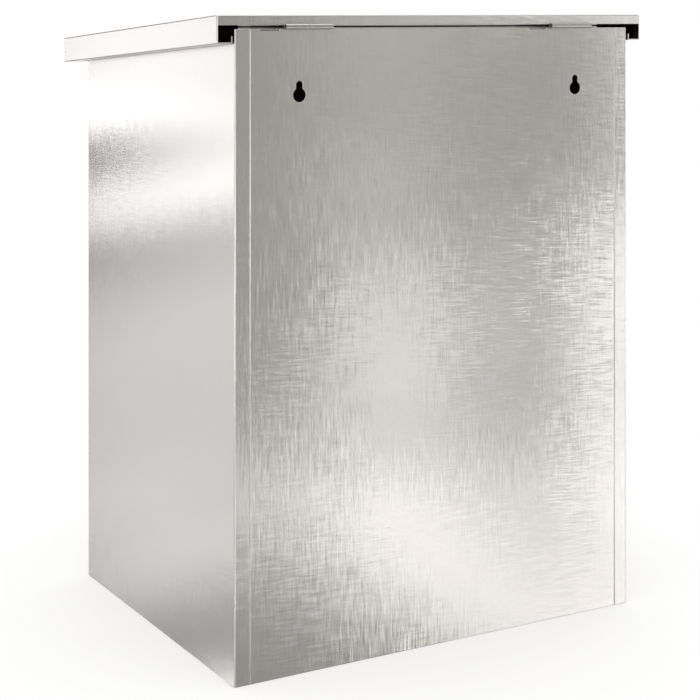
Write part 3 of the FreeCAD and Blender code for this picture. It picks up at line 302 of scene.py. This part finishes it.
def moulded(name, base, rough, grain=1400.0, bump=0.25, spec=0.5, scuff=0.12, bevel=0.0005):
    """Moulded plastic or rubber: spark-eroded texture, slight colour drift, paler rubbed edges."""
    m, g, b = new_material(name)
    co, ax, ay, az = object_frame(g)
    v = g.add("ShaderNodeTexVoronoi")
    g.put(v.inputs["Vector"], co)
    v.inputs["Scale"].default_value = grain
    n1 = g.noise(co, grain * 0.6, 3.0, 0.6)
    n2 = g.noise(co, 14.0, 4.0, 0.6)
    long = g.noise(g.mapping(co, (260.0, 260.0, 6.0)), 1.0, 3.0, 0.7)
    marks = g.remap(long, 0.62, 0.78, 0.0, 1.0)
    geo = g.add("ShaderNodeNewGeometry")
    bev = g.add("ShaderNodeBevel", samples=4)
    bev.inputs["Radius"].default_value = bevel
    edge_wear_and_sheen = g.remap(g.vmath("DOT_PRODUCT", bev.outputs[0], geo.outputs["Normal"]), 0.999, 0.9, 0.0, 1.0)
    pale = tuple(min(1.0, c * 1.6 + 0.03) for c in base)
    c = g.mix(g.math("MULTIPLY", n2, 0.35), base, tuple(x * 0.75 for x in base))
    c = g.mix(g.math("ADD", g.math("MULTIPLY", edge_wear_and_sheen, 0.5), g.math("MULTIPLY", marks, scuff), clamp=True), c, pale)
    g.put(b.inputs["Base Color"], c)
    g.put(b.inputs["Roughness"], g.math("ADD", rough - 0.08, g.math("MULTIPLY", g.math("ADD", n1, n2), 0.08)))
    b.inputs["Specular IOR Level"].default_value = spec
    bm = g.add("ShaderNodeBump")
    bm.inputs["Strength"].default_value = bump
    bm.inputs["Distance"].default_value = 0.0001
    g.put(bm.inputs["Height"], g.math("ADD", v.outputs["Distance"], n1))
    g.put(bm.inputs["Normal"], bev.outputs[0])
    g.put(b.inputs["Normal"], bm.outputs[0])
    return m


STEEL = (0.572, 0.560, 0.541)
MATS = {
    "stainless_brushed": brushed("stainless_brushed", STEEL, 0.225),
    "stainless_lid": brushed("stainless_lid", STEEL, 0.225, lean=0.066),
    "stainless_inner": brushed("stainless_inner", (0.52, 0.51, 0.50), 0.34, tilt=0.8),
    "hinge_steel": brushed("hinge_steel", (0.40, 0.395, 0.38), 0.30, grain=1.6, tilt=0.8),
    "pin_steel": plain_metal("pin_steel", (0.66, 0.66, 0.66), 0.24),
    "lock_chrome": plain_metal("lock_chrome", (0.62, 0.62, 0.63), 0.31, scale=2400.0, bump=0.02),
    "lock_plug": plain_metal("lock_plug", (0.33, 0.325, 0.31), 0.36, scale=2400.0, bump=0.02),
    "lock_brass": plain_metal("lock_brass", (0.72, 0.52, 0.25), 0.32),
    "zinc_plated": plain_metal("zinc_plated", (0.60, 0.61, 0.62), 0.38, dull=0.25),
    "bin_plastic": moulded("bin_plastic", (0.045, 0.048, 0.052), 0.52),
    "grip_blue": moulded("grip_blue", (0.02, 0.10, 0.33), 0.45, grain=1100.0),
    "grip_green": moulded("grip_green", (0.03, 0.21, 0.08), 0.45, grain=1100.0),
    "bush_nylon": moulded("bush_nylon", (0.75, 0.73, 0.68), 0.5, bump=0.1),
    "rubber_black": moulded("rubber_black", (0.018, 0.018, 0.02), 0.7, bump=0.3, spec=0.3),
}
SLOT = {s["node"]: s["material_slot"] for s in frame["record"]["subparts"]}
for name, obj in NODES.items():
    mat = MATS[{"lid_tray": "stainless_lid", "lock_cylinder": "lock_plug"}.get(name, SLOT[name])]
    for i in range(max(1, len(obj.data.materials))):
        if i < len(obj.data.materials):
            obj.data.materials[i] = mat
        else:
            obj.data.materials.append(mat)

# ------------------------------------------------------------------------ floor

def make_floor():
    bm = bmesh.new()
    n = 96
    rings = [0.0, 0.3, 0.6, 1.2, 2.4, 5.0, 12.0, 30.0]
    loops = []
    for r in rings[1:]:
        loops.append([bm.verts.new((r * math.cos(2 * math.pi * i / n), r * math.sin(2 * math.pi * i / n), -0.0004))
                      for i in range(n)])
    mid = bm.verts.new((0, 0, -0.0004))
    for i in range(n):
        bm.faces.new((mid, loops[0][i], loops[0][(i + 1) % n]))
    for a, b in zip(loops, loops[1:]):
        for i in range(n):
            bm.faces.new((a[i], b[i], b[(i + 1) % n], a[(i + 1) % n]))
    me = bpy.data.meshes.new("studio_floor")
    bm.to_mesh(me)
    bm.free()
    o = bpy.data.objects.new("studio_floor", me)
    scene.collection.objects.link(o)
    m = bpy.data.materials.new("studio_floor")
    m.use_nodes = True
    m.node_tree.nodes.clear()
    g = Graph(m.node_tree)
    out = g.add("ShaderNodeOutputMaterial")
    paper = g.add("ShaderNodeBsdfDiffuse")
    glow = g.add("ShaderNodeEmission")
    co = g.add("ShaderNodeTexCoord").outputs["Object"]
    s = g.math("ADD", 0.93, g.math("MULTIPLY", g.noise(co, 40.0, 4.0, 0.6), 0.02))
    g.put(paper.inputs["Color"], g.combine(s, s, g.math("MULTIPLY", s, 0.995)))
    glow.inputs["Color"].default_value = (1.0, 1.0, 1.0, 1.0)
    # the sweep is burnt out to white away from the object
    far = g.remap(g.vmath("LENGTH", co), 0.20, 0.46, 0.45, 1.0, smooth=True)
    mx = g.add("ShaderNodeMixShader")
    g.put(mx.inputs[0], far)
    g.links.new(paper.outputs[0], mx.inputs[1])
    g.links.new(glow.outputs[0], mx.inputs[2])
    g.links.new(mx.outputs[0], out.inputs["Surface"])
    m.cycles.emission_sampling = "NONE"
    me.materials.append(m)
    o.visible_glossy = False
    return o


make_floor()

# ------------------------------------------------------------------------ light

world = bpy.data.worlds.new("studio")
scene.world = world
world.use_nodes = True
world.cycles.sampling_method = "NONE"
wt = world.node_tree
wt.nodes.clear()
g = Graph(wt)
direction = g.add("ShaderNodeTexCoord").outputs["Generated"]
dx, dy, dz = g.separate(direction)
rise = g.remap(dz, -1.0, 1.0, 0.0, 1.0)
mirror = g.curve(rise, [(0.0, 0.55), (0.30, 0.50), (0.5, 0.60), (0.75, 0.85), (0.88, 1.15), (1.0, 1.80)])
open_sky = g.curve(rise, [(0.0, 0.70), (0.5, 0.95), (0.8, 1.06), (1.0, 1.10)])
light_path = g.add("ShaderNodeLightPath")
level = g.lerp(light_path.outputs["Is Glossy Ray"], open_sky, mirror)
bg_light = g.add("ShaderNodeBackground")
g.put(bg_light.inputs["Color"], g.mix(1.0, g.combine(level, level, level), (1.0, 0.994, 0.982), "MULTIPLY"))
bg_view = g.add("ShaderNodeBackground")
bg_view.inputs["Color"].default_value = (1.0, 1.0, 1.0, 1.0)
mixer = g.add("ShaderNodeMixShader")
g.put(mixer.inputs[0], light_path.outputs["Is Camera Ray"])
g.links.new(bg_light.outputs[0], mixer.inputs[1])
g.links.new(bg_view.outputs[0], mixer.inputs[2])
wo = g.add("ShaderNodeOutputWorld")
g.links.new(mixer.outputs[0], wo.inputs["Surface"])

# Soft boxes stand round the object on four card walls, seen only in reflections.
# One box: centre along the wall, centre height, half width, half height, edge softness along and up, turn (rad), level.
WALL_Y, WALL_X, WALL_LO, WALL_HI = 0.90, 1.25, -1.6, 1.9
BACK_WALL = [
    (-0.85, -0.07, 0.12, 0.33, 0.02, 0.02, -0.07, 1.82),
    (-0.94, 0.63, 0.07, 0.38, 0.09, 0.25, 0.11, 2.05),
    (-0.40, 0.11, 0.11, 0.12, 0.04, 0.02, 0.05, 1.27),
    (-0.36, 0.34, 0.08, 0.02, 0.14, 0.02, -0.08, 2.10),
    (-0.41, 0.65, 0.11, 0.23, 0.19, 0.05, 0.27, 0.50),
    (-0.74, 0.76, 0.17, 0.09, 0.14, 0.05, 0.05, 1.35),
    (-0.31, -0.10, 0.45, 0.02, 0.25, 0.04, 0.11, 2.70),
    (-0.57, -0.29, 0.31, 0.07, 0.03, 0.03, 0.53, 1.68),
    # seen by the back from the other hand, and by the right side from the front
    (0.60, 0.20, 0.13, 0.13, 0.07, 0.04, 0.06, 2.0),
    (0.78, -0.20, 0.28, 0.05, 0.12, 0.04, -0.10, 2.0),
    (1.08, 0.42, 0.13, 0.30, 0.08, 0.12, 0.05, 2.2),
    (1.08, -0.48, 0.20, 0.12, 0.08, 0.06, 0.12, 1.6),
    (0.18, 0.36, 0.16, 0.14, 0.08, 0.05, 0.05, 1.7),
    (0.20, -0.06, 0.14, 0.10, 0.10, 0.05, -0.05, 1.5),
    (0.62, 0.70, 0.30, 0.10, 0.12, 0.08, 0.05, 1.2),
]
FRONT_WALL = [
    (0.72, 0.56, 0.30, 0.13, 0.06, 0.05, 0.07, 1.75),
    (0.64, 0.40, 0.38, 0.02, 0.02, 0.02, -0.05, 2.90),
    (0.79, 0.31, 0.33, 0.04, 0.20, 0.02, 0.13, 2.70),
    (0.78, 0.17, 0.37, 0.05, 0.04, 0.07, 0.10, 0.95),
    (0.81, 0.00, 0.46, 0.14, 0.20, 0.06, 0.16, 1.00),
    (0.87, -0.24, 0.42, 0.07, 0.20, 0.10, 0.06, 1.50),
    (0.66, -0.55, 0.30, 0.09, 0.03, 0.02, -0.10, 3.00),
    # seen by the front
    (-0.06, 0.47, 0.20, 0.07, 0.10, 0.05, 0.05, 1.9),
    (-0.12, 0.10, 0.22, 0.12, 0.10, 0.05, -0.06, 1.7),
    (0.05, -0.25, 0.20, 0.06, 0.10, 0.05, 0.08, 1.6),
    (-0.62, -0.02, 0.14, 0.10, 0.08, 0.05, 0.06, 1.8),
    (-0.78, -0.34, 0.24, 0.06, 0.10, 0.05, -0.10, 2.0),
    (-1.08, 0.05, 0.10, 0.30, 0.06, 0.10, 0.04, 1.7),
    (-0.70, 0.42, 0.24, 0.08, 0.10, 0.06, 0.05, 1.6),
    (0.0, 1.35, 1.10, 0.42, 0.15, 0.15, 0.0, 1.0),
]
SIDE_WALL = [
    (0.06, 0.46, 0.17, 0.07, 0.10, 0.05, 0.06, 2.0),
    (-0.08, 0.10, 0.20, 0.12, 0.10, 0.05, -0.06, 1.8),
    (0.05, -0.32, 0.24, 0.07, 0.10, 0.05, 0.08, 1.9),
    (0.60, 0.22, 0.12, 0.40, 0.06, 0.10, 0.03, 2.0),
    (-0.62, 0.15, 0.12, 0.40, 0.06, 0.10, -0.03, 2.0),
    (0.0, 1.25, 0.75, 0.35, 0.12, 0.15, 0.0, 0.9),
]


def card_wall(name, corners, axis, base, boxes):
    me = bpy.data.meshes.new(name)
    me.from_pydata(corners, [], [(0, 1, 2, 3)])
    me.update()
    o = bpy.data.objects.new(name, me)
    scene.collection.objects.link(o)
    o.visible_camera = o.visible_diffuse = o.visible_shadow = False
    o.visible_transmission = o.visible_volume_scatter = False
    m = bpy.data.materials.new(name)
    m.use_nodes = True
    m.node_tree.nodes.clear()
    g = Graph(m.node_tree)
    out = g.add("ShaderNodeOutputMaterial")
    em = g.add("ShaderNodeEmission")
    px, py, pz = g.separate(g.add("ShaderNodeNewGeometry").outputs["Position"])
    spot = g.combine(px if axis == 0 else py, pz, 0.0)
    base_lo, base_hi, u0, u1 = base
    dim = g.math("MULTIPLY", g.remap(px if axis == 0 else py, u0, u1, base_lo, base_hi, smooth=True),
                 g.remap(pz, -0.6, 1.6, 1.0, 1.3))
    total = 0.0
    for cu, cv, hw, hh, su, sv, turn, lev in boxes:
        mp = g.add("ShaderNodeMapping", vector_type="TEXTURE")
        g.put(mp.inputs["Vector"], spot)
        mp.inputs["Location"].default_value = (cu, cv, 0.0)
        mp.inputs["Rotation"].default_value = (0.0, 0.0, turn)
        a, c, _ = g.separate(g.vmath("ABSOLUTE", mp.outputs[0]))
        fa = g.remap(a, hw - su, hw + su, 1.0, 0.0, smooth=True)
        fc = g.remap(c, hh - sv, hh + sv, 1.0, 0.0, smooth=True)
        total = g.math("ADD", total, g.math("MULTIPLY", g.math("MULTIPLY", fa, fc), lev))
    room = g.vmath("SCALE", (1.02, 1.0, 0.963), scale=dim)
    lamp = g.vmath("SCALE", (1.015, 1.0, 1.010), scale=total)
    g.put(em.inputs["Color"], g.vmath("ADD", room, lamp))
    g.links.new(em.outputs[0], out.inputs["Surface"])
    m.cycles.emission_sampling = "NONE"
    me.materials.append(m)


X, Y, L, H = WALL_X, WALL_Y, WALL_LO, WALL_HI
card_wall("cards_back", [(-X, Y, L), (X, Y, L), (X, Y, H), (-X, Y, H)], 0, (0.34, 0.50, -0.15, 0.25), BACK_WALL)
card_wall("cards_front", [(-X, -Y, L), (X, -Y, L), (X, -Y, H), (-X, -Y, H)], 0, (0.34, 0.02, 0.12, 0.34), FRONT_WALL)
card_wall("cards_right", [(X, -Y, L), (X, Y, L), (X, Y, H), (X, -Y, H)], 1, (0.36, 0.42, -0.5, 0.5), SIDE_WALL)
card_wall("cards_left", [(-X, -Y, L), (-X, Y, L), (-X, Y, H), (-X, -Y, H)], 1, (0.36, 0.42, -0.5, 0.5), SIDE_WALL)


def area_light(name, loc, target, size_x, size_y, power, colour=(1.0, 0.99, 0.97), glossy=True):
    d = bpy.data.lights.new(name, "AREA")
    d.shape = "RECTANGLE"
    d.size, d.size_y = size_x, size_y
    d.energy = power
    d.color = colour
    o = bpy.data.objects.new(name, d)
    o.location = loc
    o.rotation_mode = "QUATERNION"
    o.rotation_quaternion = (Vector(loc) - Vector(target)).to_track_quat("Z", "Y")
    o.visible_glossy = glossy
    scene.collection.objects.link(o)
    return o


area_light("overhead_soft_box", (0.2, 0.3, 2.6), (0, 0, 0.2), 2.4, 2.4, 12.0)

# ----------------------------------------------------------------------- camera

cam_data = bpy.data.cameras.new("photo_camera")
cam = bpy.data.objects.new("photo_camera", cam_data)
scene.collection.objects.link(cam)
cam_data.sensor_width = 36.0
cam_data.lens = 87.58
cam_data.clip_start, cam_data.clip_end = 0.05, 60.0
cam.rotation_mode = "XYZ"
cam.location = (0.818, 1.418, 0.551)
cam.rotation_euler = (math.pi / 2, 0.0, math.atan2(0.4995, -0.8667))
scene.camera = cam


def drive(prop, shut, raised, keep):
    """Follows the lid from shut to fully raised, along a plain curve over a sum: the camera's rotation mode counted
    six times (XYZ = 1, QUATERNION = 0) plus the lid's turn. Any other view turns the camera by quaternion, so the
    sum stays under 2.5 and the value is keep."""
    fc = cam_data.driver_add(prop)
    for mod in list(fc.modifiers):
        fc.modifiers.remove(mod)
    drv = fc.driver
    drv.type = "SUM"
    for k in range(6):
        m = drv.variables.new()
        m.name = "m%d" % k
        m.type = "SINGLE_PROP"
        m.targets[0].id = cam
        m.targets[0].data_path = "rotation_mode"
    r = drv.variables.new()
    r.name = "r"
    r.type = "TRANSFORMS"
    r.targets[0].id = NODES["lid_tray"]
    r.targets[0].transform_type = "ROT_X"
    r.targets[0].transform_space = "WORLD_SPACE"
    points = [(0.0, keep), (2.5, keep), (6.0 - 1.7453, raised), (6.0, shut), (6.0 + 1.7453, raised)]
    fc.keyframe_points.add(len(points))
    for p, co in zip(fc.keyframe_points, points):
        p.co = co
        p.interpolation = "LINEAR"
    fc.extrapolation = "CONSTANT"
    fc.update()


# the front standard is shifted, as on a view camera, so that uprights stay parallel in the photo's view, and the
# camera zooms back from the same place and angle as the lid rises, so that a raised lid stays in the frame
drive("shift_y", -0.479, -0.103, 0.0)
drive("lens", 87.58, 53.0, 87.58)

scene.view_settings.view_transform = "Standard"
scene.view_settings.look = "None"
scene.view_settings.exposure = 0.0
scene.view_settings.gamma = 1.0
